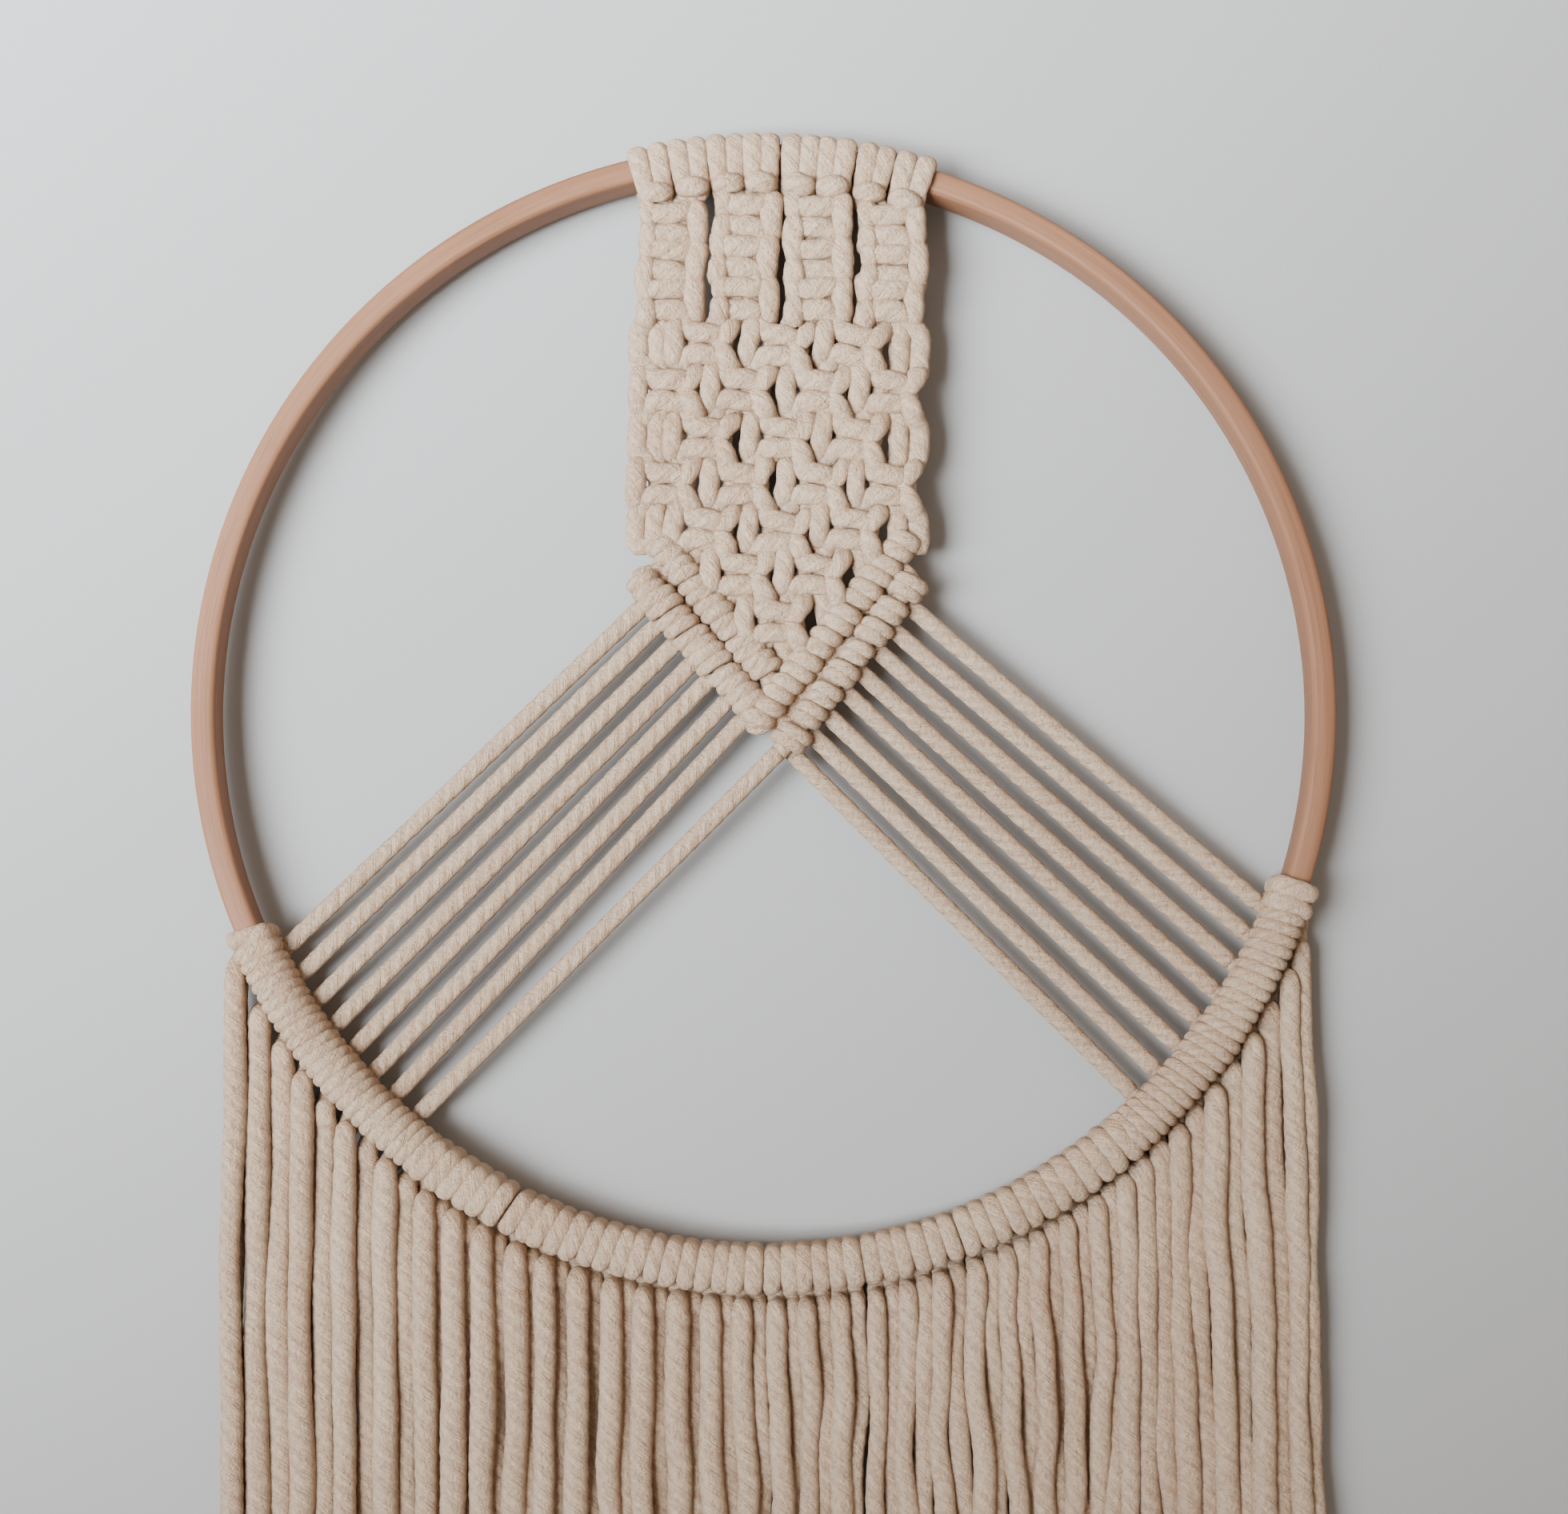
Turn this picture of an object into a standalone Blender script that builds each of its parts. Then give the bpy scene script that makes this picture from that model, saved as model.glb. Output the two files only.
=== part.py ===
"""Macrame wall hanging on a bent-wood hoop.

A flat wooden hoop carries a panel of square knots, mounted on its top with lark's heads. Below the panel two
rows of diagonal hitches form a V, from which sixteen stay cords run out to the hoop's lower arc. There they are
hitched on, between lark's heads, and all the ends hang down as a straight-cut fringe.

Axes: +X to the viewer's right, +Z up, and the front faces -Y. The origin is the point of the hoop's inner face
at twelve o'clock, halfway through its depth, where a nail in the wall carries the hanging.
"""

import math
from collections import namedtuple

import bmesh
import bpy
from mathutils import Vector

MM = 0.001

# Hoop: a flat wooden band bent to a ring, standing on edge.
HOOP_RADIUS = 150 * MM
HOOP_WALL = 6.5 * MM
HOOP_DEPTH = 12 * MM
HOOP_ROUNDING = 1.6 * MM
HOOP_STEPS = 72
HOOP_INNER = HOOP_RADIUS - HOOP_WALL
HOOP_MIDDLE = HOOP_RADIUS - HOOP_WALL / 2
HOOP_CENTRE = Vector((0, 0, -HOOP_INNER))

# Cord: soft single-twist cotton, which flattens where it is pulled round the hoop.
CORD_RADIUS = 2.15 * MM
WRAP_THICKNESS = 3.7 * MM
GAP = 0.3 * MM

# Panel: four columns of four cords. Its axis leans a little and hangs forward of the hoop's middle plane.
PANEL_FOOT_X = 2.75 * MM
PANEL_LEAN = 0.0225
PANEL_FRONT_AT_TOP = -4 * MM
PANEL_FRONT_AT_CENTRE = -1 * MM
PANEL_TOP = 137 * MM
COLUMN_PITCH = 19.5 * MM
KNOT_HALF_WIDTH = 8.6 * MM
KNOT_HALF_HEIGHT = 6.5 * MM
KNOT_HALF_DEPTH = 4.6 * MM
SINNET_KNOTS = 3
SINNET_FOOT = 100 * MM
FLOAT_PLACES = (31.7 * MM, 36.4 * MM)

# The upright loop beside a square knot: its place across, its reach up and down, and its half sizes and how far it
# stands forward, in the middle and at its tips.
LOOP_ACROSS = 6.3 * MM
LOOP_REACH = 5.4 * MM
LOOP_HALF_WIDTH = 2.2 * MM
LOOP_HALF_DEPTH = 2.0 * MM
LOOP_FORWARD = 3.4 * MM
LOOP_TIP_HALF_SIZE = 1.2 * MM
LOOP_TIP_FORWARD = 2.0 * MM

# Crown: the lark's heads over the hoop's top, in degrees clockwise from twelve o'clock.
CROWN_START = -13.4
CROWN_END = 18.1
CROWN_HEADS = 8
LOOP_ROW_RADIUS = 137.9 * MM
LOOP_ROW_HALF_HEIGHT = 3.4 * MM

# Fringe.
OVERALL_HEIGHT = 650 * MM
ROW_DEPTH = {"front": -1.7 * MM, "back": 3.1 * MM}
STRAND_RADIUS = 2.1 * MM
STRAND_ROOT_RADIUS = HOOP_RADIUS + 1.8 * MM
STRAND_STATIONS = 6
SWAY = 0.8 * MM

# Rows of alternating square knots: height above the hoop's centre, and the columns' places in half pitches.
KnotRow = namedtuple("KnotRow", "up places")
KNOT_ROWS = (
    KnotRow(94.8 * MM, (-2, 0, 2)),
    KnotRow(82.5 * MM, (-3, -1, 1, 3)),
    KnotRow(70.1 * MM, (-2, 0, 2)),
    KnotRow(57.8 * MM, (-3, -1, 1, 3)),
    KnotRow(45.6 * MM, (-2, 0, 2)),
    KnotRow(33.5 * MM, (-1, 1)),
    KnotRow(21.4 * MM, (0,)),
)

# Side cords that pass a row untied, from and to these heights above the hoop's centre.
FLOATS = ((102.5 * MM, 87 * MM), (77 * MM, 63 * MM), (53 * MM, 44 * MM))

# Diagonal bars of double half hitches, as (across, up) on the panel, with their half width and turns of cord.
HitchBar = namedtuple("HitchBar", "start end half_width turns")
INNER_LEFT = HitchBar((-33.4 * MM, 45.7 * MM), (0, 6.5 * MM), 4.4 * MM, 14)
INNER_RIGHT = HitchBar((33.5 * MM, 45 * MM), (-0.9 * MM, 2.2 * MM), 4.8 * MM, 14)
OUTER_LEFT = HitchBar((-36.6 * MM, 35.3 * MM), (-3.8 * MM, -3.3 * MM), 4.4 * MM, 12)
OUTER_RIGHT = HitchBar((38.8 * MM, 35.6 * MM), (5.2 * MM, -6.2 * MM), 4.8 * MM, 14)
LEFT_LEADER_END = (3.2 * MM, -12.5 * MM)
STAY_DEPTH_AT_HOOP = 2 * MM

# Knots on the hoop's lower arc, in degrees from six o'clock, positive to the viewer's right. Each knot is two
# turns round the hoop. A lark's head hangs two strands, and a hitched stay cord hangs one.
ArcGroup = namedtuple("ArcGroup", "node start end knots strands_each")
STAY_KNOTS_LEFT = ArcGroup("fringe_left", -65.3, -37.5, 8, 1)
STAY_KNOTS_RIGHT = ArcGroup("fringe_right", 39.5, 67.7, 8, 1)
END_HEAD_LEFT = ArcGroup("fringe_left", -68.6, -65.3, 1, 2)
END_HEAD_RIGHT = ArcGroup("fringe_right", 67.7, 71.0, 1, 2)
HEAD_PITCH = 77 / 23
ARC_GROUPS = (
    (END_HEAD_LEFT, STAY_KNOTS_LEFT),
    (ArcGroup("fringe_middle_left", -37.5, -37.5 + 8 * HEAD_PITCH, 8, 2),),
    (ArcGroup("fringe_middle", -37.5 + 8 * HEAD_PITCH, 39.5 - 8 * HEAD_PITCH, 7, 2),),
    (ArcGroup("fringe_middle_right", 39.5 - 8 * HEAD_PITCH, 39.5, 8, 2),),
    (STAY_KNOTS_RIGHT, END_HEAD_RIGHT),
)

COTTON = (0.78, 0.70, 0.61, 1)
BEECH = (0.62, 0.36, 0.20, 1)


def clear_scene():
    for thing in list(bpy.data.objects):
        bpy.data.objects.remove(thing)


def collection(name):
    made = bpy.data.collections.new(name)
    bpy.context.scene.collection.children.link(made)
    return made


def material(name, colour, roughness):
    made = bpy.data.materials.new(name)
    made.use_nodes = True
    shader = made.node_tree.nodes["Principled BSDF"]
    shader.inputs["Base Color"].default_value = colour
    shader.inputs["Roughness"].default_value = roughness
    shader.inputs["Metallic"].default_value = 0
    return made


def add_object(name, data, group):
    made = bpy.data.objects.new(name, data)
    group.objects.link(made)
    return made


def on_hoop(degrees, radius, depth=0.0):
    """A point at this angle from six o'clock, positive to the right, at a radius from the hoop's axis."""
    angle = math.radians(degrees)
    return HOOP_CENTRE + Vector((radius * math.sin(angle), depth, -radius * math.cos(angle)))


def on_panel(across, up, forward=0.0):
    """A point of the panel: across its leaning axis, above the hoop's centre, and forward of its middle."""
    share = up / PANEL_TOP
    depth = PANEL_FRONT_AT_CENTRE + share * (PANEL_FRONT_AT_TOP - PANEL_FRONT_AT_CENTRE)
    axis_x = PANEL_FOOT_X + PANEL_LEAN * up
    return HOOP_CENTRE + Vector((axis_x + across, depth - forward, up - PANEL_LEAN * across))


def rounded(sides, squareness):
    """Points of a superellipse of half sizes 1, flat in front: squareness 1 is an ellipse, less is squarer."""
    first = 0.5 if sides % 4 == 0 else 0
    points = []
    for i in range(sides):
        turn = 2 * math.pi * (i + first) / sides
        c, s = math.cos(turn), math.sin(turn)
        points.append((math.copysign(abs(c) ** squareness, c), math.copysign(abs(s) ** squareness, s)))
    return points


Station = namedtuple("Station", "centre side half_width half_depth")


def loft(name, stations, group, sides=8, squareness=0.6):
    """A closed bar through its stations. Each cross-section spans the station's side vector and the Y axis."""
    section = rounded(sides, squareness)
    shape = bmesh.new()
    rings = []
    for station in stations:
        ring = []
        for across, deep in section:
            offset = station.side * (across * station.half_width)
            ring.append(shape.verts.new(station.centre + offset + Vector((0, deep * station.half_depth, 0))))
        rings.append(ring)
    for near, far in zip(rings, rings[1:]):
        for i in range(sides):
            j = (i + 1) % sides
            shape.faces.new((near[i], near[j], far[j], far[i]))
    shape.faces.new(reversed(rings[0]))
    shape.faces.new(rings[-1])
    bmesh.ops.recalc_face_normals(shape, faces=shape.faces)
    mesh = bpy.data.meshes.new(name)
    shape.to_mesh(mesh)
    shape.free()
    return add_object(name, mesh, group)


def ridge_sizes(turns, valley):
    """One crest for each turn of cord, with a valley before, between and after the crests."""
    sizes = [valley]
    for _ in range(turns):
        sizes += [1.0, valley]
    return sizes


def tubes(name, routes, radius, resolution, group):
    """Round cords through these routes, as one mesh whose caps are welded on."""
    curve = bpy.data.curves.new(name, "CURVE")
    curve.dimensions = "3D"
    curve.bevel_depth = radius
    curve.bevel_resolution = resolution
    curve.use_fill_caps = True
    for route in routes:
        spline = curve.splines.new("POLY")
        spline.points.add(len(route) - 1)
        for point, place in zip(spline.points, route):
            point.co = (*place, 1)
    guide = add_object(name + "_curve", curve, group)
    graph = bpy.context.evaluated_depsgraph_get()
    mesh = bpy.data.meshes.new_from_object(guide.evaluated_get(graph))
    bpy.data.objects.remove(guide)
    shape = bmesh.new()
    shape.from_mesh(mesh)
    bmesh.ops.remove_doubles(shape, verts=shape.verts, dist=0.01 * MM)
    shape.to_mesh(mesh)
    shape.free()
    return add_object(name, mesh, group)


def hoop_profile(grown):
    """The hoop's cross-section as (radius, depth) points, grown by a clearance on every side."""
    inner = HOOP_INNER - grown
    outer = HOOP_RADIUS + grown
    deep = HOOP_DEPTH / 2 + grown
    cut = HOOP_ROUNDING
    return [
        (outer, deep - cut),
        (outer, -deep + cut),
        (outer - cut, -deep),
        (inner + cut, -deep),
        (inner, -deep + cut),
        (inner, deep - cut),
        (inner + cut, deep),
        (outer - cut, deep),
    ]


def turned_ring(name, profile, group):
    """A profile turned about the hoop's axis with a Screw modifier, then laid so that the axis is Y."""
    shape = bmesh.new()
    points = [shape.verts.new((radius, 0, depth)) for radius, depth in profile]
    for i, point in enumerate(points):
        shape.edges.new((point, points[(i + 1) % len(points)]))
    mesh = bpy.data.meshes.new(name)
    shape.to_mesh(mesh)
    shape.free()
    ring = add_object(name, mesh, group)
    screw = ring.modifiers.new("turn", "SCREW")
    screw.steps = screw.render_steps = HOOP_STEPS
    screw.use_merge_vertices = True
    screw.merge_threshold = 0.01 * MM
    ring.rotation_euler = (math.radians(90), math.radians(180 / HOOP_STEPS), 0)
    ring.location = HOOP_CENTRE
    return ring


def hide(helper):
    helper.hide_render = True
    helper.display_type = "WIRE"


def fuse(node, pieces, hoop_cutter=None):
    """Joins the pieces to the node with a Boolean union, and then clears the hoop's own space."""
    group = bpy.data.collections.new(node.name + "_pieces")
    bpy.context.scene.collection.children.link(group)
    for piece in pieces:
        for holder in list(piece.users_collection):
            holder.objects.unlink(piece)
        group.objects.link(piece)
        hide(piece)
    union = node.modifiers.new("fuse", "BOOLEAN")
    union.operation = "UNION"
    union.operand_type = "COLLECTION"
    union.collection = group
    union.solver = "EXACT"
    if hoop_cutter:
        bore = node.modifiers.new("hoop_space", "BOOLEAN")
        bore.operation = "DIFFERENCE"
        bore.object = hoop_cutter
        bore.solver = "EXACT"
    return node


def arc_bar(name, start, end, turns, group):
    """A run of cord turns round the hoop between two angles, as a ridged bar with the hoop still inside it."""
    half_wall = HOOP_WALL / 2 + WRAP_THICKNESS
    half_depth = HOOP_DEPTH / 2 + WRAP_THICKNESS
    sizes = ridge_sizes(turns, 0.9)
    stations = []
    for i, size in enumerate(sizes):
        degrees = start + (end - start) * i / (len(sizes) - 1)
        centre = on_hoop(degrees, HOOP_MIDDLE)
        outward = (on_hoop(degrees, HOOP_RADIUS) - HOOP_CENTRE).normalized()
        stations.append(Station(centre, outward, half_wall * size, half_depth * (size + 1) / 2))
    return loft(name, stations, group)


def hitch_bar(name, bar, group):
    """A diagonal bar of hitches: one crest for each turn of cord round its leader."""
    start = on_panel(*bar.start)
    end = on_panel(*bar.end)
    along = (end - start).normalized()
    side = along.cross(Vector((0, 1, 0))).normalized()
    sizes = ridge_sizes(bar.turns, 0.84)
    stations = []
    for i, size in enumerate(sizes):
        centre = start.lerp(end, i / (len(sizes) - 1))
        stations.append(Station(centre, side, bar.half_width * size, KNOT_HALF_DEPTH * size))
    return loft(name, stations, group, sides=6, squareness=0.8)


def side_loop(name, across, low, high, group):
    """The upright loop of a working cord beside a square knot."""
    side = Vector((1, 0, 0))
    middle = (low + high) / 2
    tip = (side, LOOP_TIP_HALF_SIZE, LOOP_TIP_HALF_SIZE)
    body = (side, LOOP_HALF_WIDTH, LOOP_HALF_DEPTH)
    stations = [
        Station(on_panel(across, low, LOOP_TIP_FORWARD), *tip),
        Station(on_panel(across, (low + middle) / 2, LOOP_FORWARD), *body),
        Station(on_panel(across, (high + middle) / 2, LOOP_FORWARD), *body),
        Station(on_panel(across, high, LOOP_TIP_FORWARD), *tip),
    ]
    return loft(name, stations, group, sides=4, squareness=1)


def square_knot(name, across, up, group):
    """One square knot: two crossing bars as ridges, and an upright loop on its left."""
    side = Vector((1, 0, 0))
    shape = (
        (-1.0, 0.74, 0.62),
        (-0.5, 1.0, 1.0),
        (0.0, 0.94, 0.78),
        (0.5, 1.0, 1.0),
        (1.0, 0.74, 0.62),
    )
    stations = [
        Station(on_panel(across, up + step * KNOT_HALF_HEIGHT), side, KNOT_HALF_WIDTH * wide, KNOT_HALF_DEPTH * deep)
        for step, wide, deep in shape
    ]
    body = loft(name, stations, group, sides=6, squareness=0.8)
    loop = side_loop(name + "_loop", across - LOOP_ACROSS, up - LOOP_REACH, up + LOOP_REACH, group)
    return [body, loop]


def sinnet(name, across, group):
    """A column of square knots tied one under another, with loops that change sides between half knots."""
    side = Vector((1, 0, 0))
    drop = HOOP_RADIUS - math.sqrt(HOOP_RADIUS**2 - across**2)
    top = PANEL_TOP - drop
    sizes = ridge_sizes(2 * SINNET_KNOTS, 0.84)
    stations = []
    for i, size in enumerate(sizes):
        up = top + (SINNET_FOOT - top) * i / (len(sizes) - 1)
        stations.append(Station(on_panel(across, up), side, KNOT_HALF_WIDTH * (size + 1) / 2, KNOT_HALF_DEPTH * size))
    pieces = [loft(name, stations, group, sides=6, squareness=0.8)]
    pitch = (top - SINNET_FOOT) / (2 * SINNET_KNOTS)
    for i in range(2 * SINNET_KNOTS - 1):
        place = across + (-LOOP_ACROSS if i % 2 == 0 else LOOP_ACROSS)
        middle = top - pitch * (i + 1)
        pieces.append(side_loop(f"{name}_loop{i}", place, middle - pitch, middle + pitch, group))
    return pieces


def loop_row(name, group):
    """The eight cross bars of the lark's heads, side by side under the hoop's top."""
    span = CROWN_END - CROWN_START
    sizes = ridge_sizes(CROWN_HEADS, 0.7)
    stations = []
    for i, size in enumerate(sizes):
        degrees = 180 - (CROWN_START + span * i / (len(sizes) - 1))
        centre = on_hoop(degrees, LOOP_ROW_RADIUS, PANEL_FRONT_AT_TOP)
        outward = (centre - on_hoop(degrees, 0, PANEL_FRONT_AT_TOP)).normalized()
        stations.append(Station(centre, outward, LOOP_ROW_HALF_HEIGHT * size, KNOT_HALF_DEPTH * size))
    return loft(name, stations, group, sides=6, squareness=0.8)


def knotted_panel(group, hoop_cutter):
    """The crown over the hoop, four sinnets, seven rows of alternating square knots and the inner V of hitches."""
    crown = arc_bar("knotted_panel", 180 - CROWN_START, 180 - CROWN_END, 2 * CROWN_HEADS, group)
    pieces = [loop_row("loop_row", group)]
    for i, place in enumerate((-1.5, -0.5, 0.5, 1.5)):
        pieces += sinnet(f"sinnet_{i}", place * COLUMN_PITCH, group)
    for r, row in enumerate(KNOT_ROWS):
        for k, place in enumerate(row.places):
            pieces += square_knot(f"knot_{r}_{k}", place * COLUMN_PITCH / 2, row.up, group)
    routes = []
    for high, low in FLOATS:
        for place in FLOAT_PLACES:
            for hand in (-1, 1):
                routes.append([on_panel(hand * place, high), on_panel(hand * place, low)])
    pieces.append(tubes("floats", routes, CORD_RADIUS, 0, group))
    pieces.append(hitch_bar("inner_left", INNER_LEFT, group))
    pieces.append(hitch_bar("inner_right", INNER_RIGHT, group))
    return fuse(crown, pieces, hoop_cutter)


def stay_angles(knots):
    """Where each stay cord meets the hoop: the middle of its two turns."""
    pitch = (knots.end - knots.start) / knots.knots
    return [knots.start + pitch * (i + 0.5) for i in range(knots.knots)]


def stay_routes(starts, angles):
    """Straight, taut cords from a bar of hitches to the inside of the hoop."""
    reach = HOOP_INNER - WRAP_THICKNESS - 0.9 * MM
    routes = []
    for start, degrees in zip(starts, angles):
        end = on_hoop(degrees, reach, STAY_DEPTH_AT_HOOP)
        routes.append([start.lerp(end, share) for share in (0, 0.25, 0.5, 0.75, 1)])
    return routes


def bar_places(bar, count, first, last):
    """Evenly spaced points on a bar's centre line."""
    start, end = on_panel(*bar.start), on_panel(*bar.end)
    return [start.lerp(end, first + (last - first) * i / (count - 1)) for i in range(count)]


def stays_left(group):
    """The outer left bar, its leader's tail and the eight cords to the hoop's left."""
    bar = hitch_bar("stays_left", OUTER_LEFT, group)
    leader_start, leader_end = on_panel(*OUTER_LEFT.end), on_panel(*LEFT_LEADER_END)
    leader = tubes("leader", [[leader_start.lerp(leader_end, -0.3), leader_end]], CORD_RADIUS, 1, group)
    starts = bar_places(OUTER_LEFT, 6, 0.06, 0.93)
    starts += [leader_start.lerp(leader_end, share) for share in (0.42, 0.95)]
    cords = tubes("cords_left", stay_routes(starts, stay_angles(STAY_KNOTS_LEFT)), CORD_RADIUS, 0, group)
    return fuse(bar, [leader, cords])


def stays_right(group):
    """The outer right bar and the eight cords to the hoop's right."""
    bar = hitch_bar("stays_right", OUTER_RIGHT, group)
    starts = bar_places(OUTER_RIGHT, 8, 0.05, 0.97)
    angles = list(reversed(stay_angles(STAY_KNOTS_RIGHT)))
    cords = tubes("cords_right", stay_routes(starts, angles), CORD_RADIUS, 0, group)
    return fuse(bar, [cords])


def strand_roots(knots):
    """Angle and row of each strand that hangs from a run of knots."""
    pitch = (knots.end - knots.start) / knots.knots
    roots = []
    for i in range(knots.knots):
        middle = knots.start + pitch * (i + 0.5)
        if knots.strands_each == 2:
            roots += [(middle - pitch / 4, "front"), (middle + pitch / 4, "back")]
        else:
            roots.append((middle, ("front", "back")[i % 2]))
    return roots


def strand_route(number, degrees, row):
    """A strand from inside its knot straight down to the cut end, swaying a little from side to side."""
    foot = HOOP_CENTRE.z + HOOP_RADIUS + WRAP_THICKNESS - OVERALL_HEIGHT
    root = on_hoop(degrees, STRAND_ROOT_RADIUS, ROW_DEPTH[row])
    route = [root]
    for i in range(1, STRAND_STATIONS):
        share = i / (STRAND_STATIONS - 1)
        sway = SWAY * math.sin(2.1 * number + 7 * share) * math.sin(math.pi * min(1, 3 * share) / 2)
        route.append(Vector((root.x + sway, root.y, root.z + (foot - root.z) * share)))
    return route


def fringe_group(runs, group, hoop_cutter):
    """A run of knots round the hoop's lower arc with the strands that hang from it."""
    node = runs[0].node
    turns = 2 * sum(run.knots for run in runs)
    part_gap = math.degrees(GAP / HOOP_INNER) / 2
    bar = arc_bar(node, runs[0].start + part_gap, runs[-1].end - part_gap, turns, group)
    roots = [root for run in runs for root in strand_roots(run)]
    routes = [strand_route(number, *root) for number, root in enumerate(roots)]
    return fuse(bar, [tubes(node + "_strands", routes, STRAND_RADIUS, 0, group)], hoop_cutter)


def main():
    clear_scene()
    hanging = collection("macrame_wall_hanging")
    helpers = collection("helpers")

    hoop = turned_ring("hoop", hoop_profile(0), hanging)
    hoop.data.materials.append(material("bent_beech", BEECH, 0.55))
    cutter = turned_ring("hoop_space", hoop_profile(GAP), helpers)
    hide(cutter)

    made = [knotted_panel(hanging, cutter), stays_left(hanging), stays_right(hanging)]
    made += [fringe_group(runs, hanging, cutter) for runs in ARC_GROUPS]
    for node in made:
        node.data.materials.append(material(node.name + "_cotton", COTTON, 0.9))


main()
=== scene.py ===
"""Macrame wall hanging: cotton cord knotted on a bent-wood hoop.

Every cord follows the route that it takes in the real knots, as a soft and slightly uneven tube. Sixteen
panel cords start at lark's heads over the top of the hoop, run down through the square knots and are hitched
to the leaders of the two V rows. As stays they run on to the lower arc of the hoop, where the fringe hangs.

Places are worked out in millimetres and put into the meshes in metres. The origin is the hoop's inner face at
twelve o'clock, the front faces -Y and Z points up.
"""

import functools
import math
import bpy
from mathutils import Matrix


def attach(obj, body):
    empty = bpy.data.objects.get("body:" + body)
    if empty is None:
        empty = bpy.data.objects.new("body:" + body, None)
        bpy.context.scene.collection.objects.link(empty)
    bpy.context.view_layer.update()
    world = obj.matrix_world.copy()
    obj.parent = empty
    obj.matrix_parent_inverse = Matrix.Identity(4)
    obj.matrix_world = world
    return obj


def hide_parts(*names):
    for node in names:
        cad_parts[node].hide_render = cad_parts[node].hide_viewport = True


bl_info = {
    "name": "Macrame wall hanging",
    "version": (1, 0, 0),
    "blender": (4, 5, 0),
    "location": "View3D > Sidebar > Macrame",
    "description": "Knots a macrame wall hanging on its wooden hoop",
    "category": "Add Mesh",
}

from collections import namedtuple

import bpy
import numpy as np
from bpy.props import FloatProperty, FloatVectorProperty, PointerProperty
from mathutils import Matrix, Vector

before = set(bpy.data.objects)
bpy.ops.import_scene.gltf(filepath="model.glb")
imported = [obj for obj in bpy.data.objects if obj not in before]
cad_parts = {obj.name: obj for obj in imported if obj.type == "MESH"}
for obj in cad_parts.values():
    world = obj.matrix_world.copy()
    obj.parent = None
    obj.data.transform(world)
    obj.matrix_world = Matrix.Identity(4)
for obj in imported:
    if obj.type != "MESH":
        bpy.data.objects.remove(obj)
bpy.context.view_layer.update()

MM = 0.001
TURN = 2 * math.pi
SEED = 20
COTTON = "soft_cotton"

# The hoop, a band standing on its edge.
HOOP_RADIUS = 150.0
HOOP_WALL = 6.5
HOOP_DEPTH = 12.0
HOOP_ROUNDING = 1.6
HOOP_MIDDLE = HOOP_RADIUS - HOOP_WALL / 2
HOOP_CENTRE_HEIGHT = HOOP_WALL - HOOP_RADIUS

# The middle line of a cord wrapped round the hoop: half its reach across the wall and through the depth,
# and the share of both that it has at a corner. A lark's head's wraps lie flat, a third wider than thick. A
# hitch's are thinner and nearly round.
WRAP_ACROSS = 4.4
WRAP_THROUGH = 7.15
WRAP_CORNER = 0.87
WRAP_RADIUS = 1.9
WRAP_WIDENING = 0.36
HITCH_WRAP_RADIUS = 1.72
HITCH_WRAP_WIDENING = 0.02

# A cord's mesh: its sides, its plies, the length between two of its rings, where it bends tightly and where
# it hangs straight, and the lengths that its two swells take for a radian and its two lumps for a wave.
CORD_SIDES = 12
CORD_PLIES = 3
TIGHT_STEP = 1.3
LOOSE_STEP = 1.6
SWELL_LENGTHS = (9.0, 23.0)
LUMP_LENGTHS = (7.3, 4.1)

# How unevenly it's tied: the usual error of a knot's place, of a cord's place in a hitch and of a wrap's
# place along the hoop, and that of a cord's girth, as a share.
KNOT_ERROR = 0.25
CORD_ERROR = 0.15
WRAP_ERROR = 0.12
GIRTH_ERROR = 0.03

# The panel hangs a little askew inside the hoop, and its top lies further forward than its foot.
PANEL_FOOT_ACROSS = 2.75
PANEL_LEAN = 0.0225
PANEL_TOP = 137.0
PANEL_DEPTH_AT_FOOT = -1.0
PANEL_DEPTH_AT_TOP = -4.0

CORD_COUNT = 16
CORD_SPACING = 4.875
KNOT_SPACING = 2 * CORD_SPACING

# Crown: eight lark's heads, in degrees clockwise from twelve o'clock. Their front bars lie on a ring inside
# the hoop's wall, and the sinnets under them start along its curve.
CROWN_START = -13.4
CROWN_END = 18.1
CROWN_HEADS = 8
CROWN_BARS_RADIUS = HOOP_MIDDLE - 7.9

# Four sinnets of three square knots under the crown, then rows of square knots. A row gives its height
# above the hoop's centre and the places of its knots, counted in knot spacings from the panel's middle.
SINNET_PLACES = (-3, -1, 1, 3)
SINNET_KNOTS = 3
SINNET_TOP = 135.4
SINNET_FOOT = 101.6
KNOT_ROWS = (
    (94.8, (-2, 0, 2)),
    (82.5, (-3, -1, 1, 3)),
    (70.1, (-2, 0, 2)),
    (57.8, (-3, -1, 1, 3)),
    (45.6, (-2, 0, 2)),
    (33.5, (-1, 1)),
    (21.4, (0,)),
)

# The cords that pass untied beside a row of three knots: how far each bows to the right, the heights of its
# places above the row and their shares of the bow.
SIDE_BOWS = {0: -0.5, 1: -0.6, 14: 0.3, 15: 0.9}
SIDE_HEIGHTS = (4.0, 0.0, -4.0)
SIDE_SHARES = (0.7, 1.0, 0.7)
SIDE_FORWARD = 0.4

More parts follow.
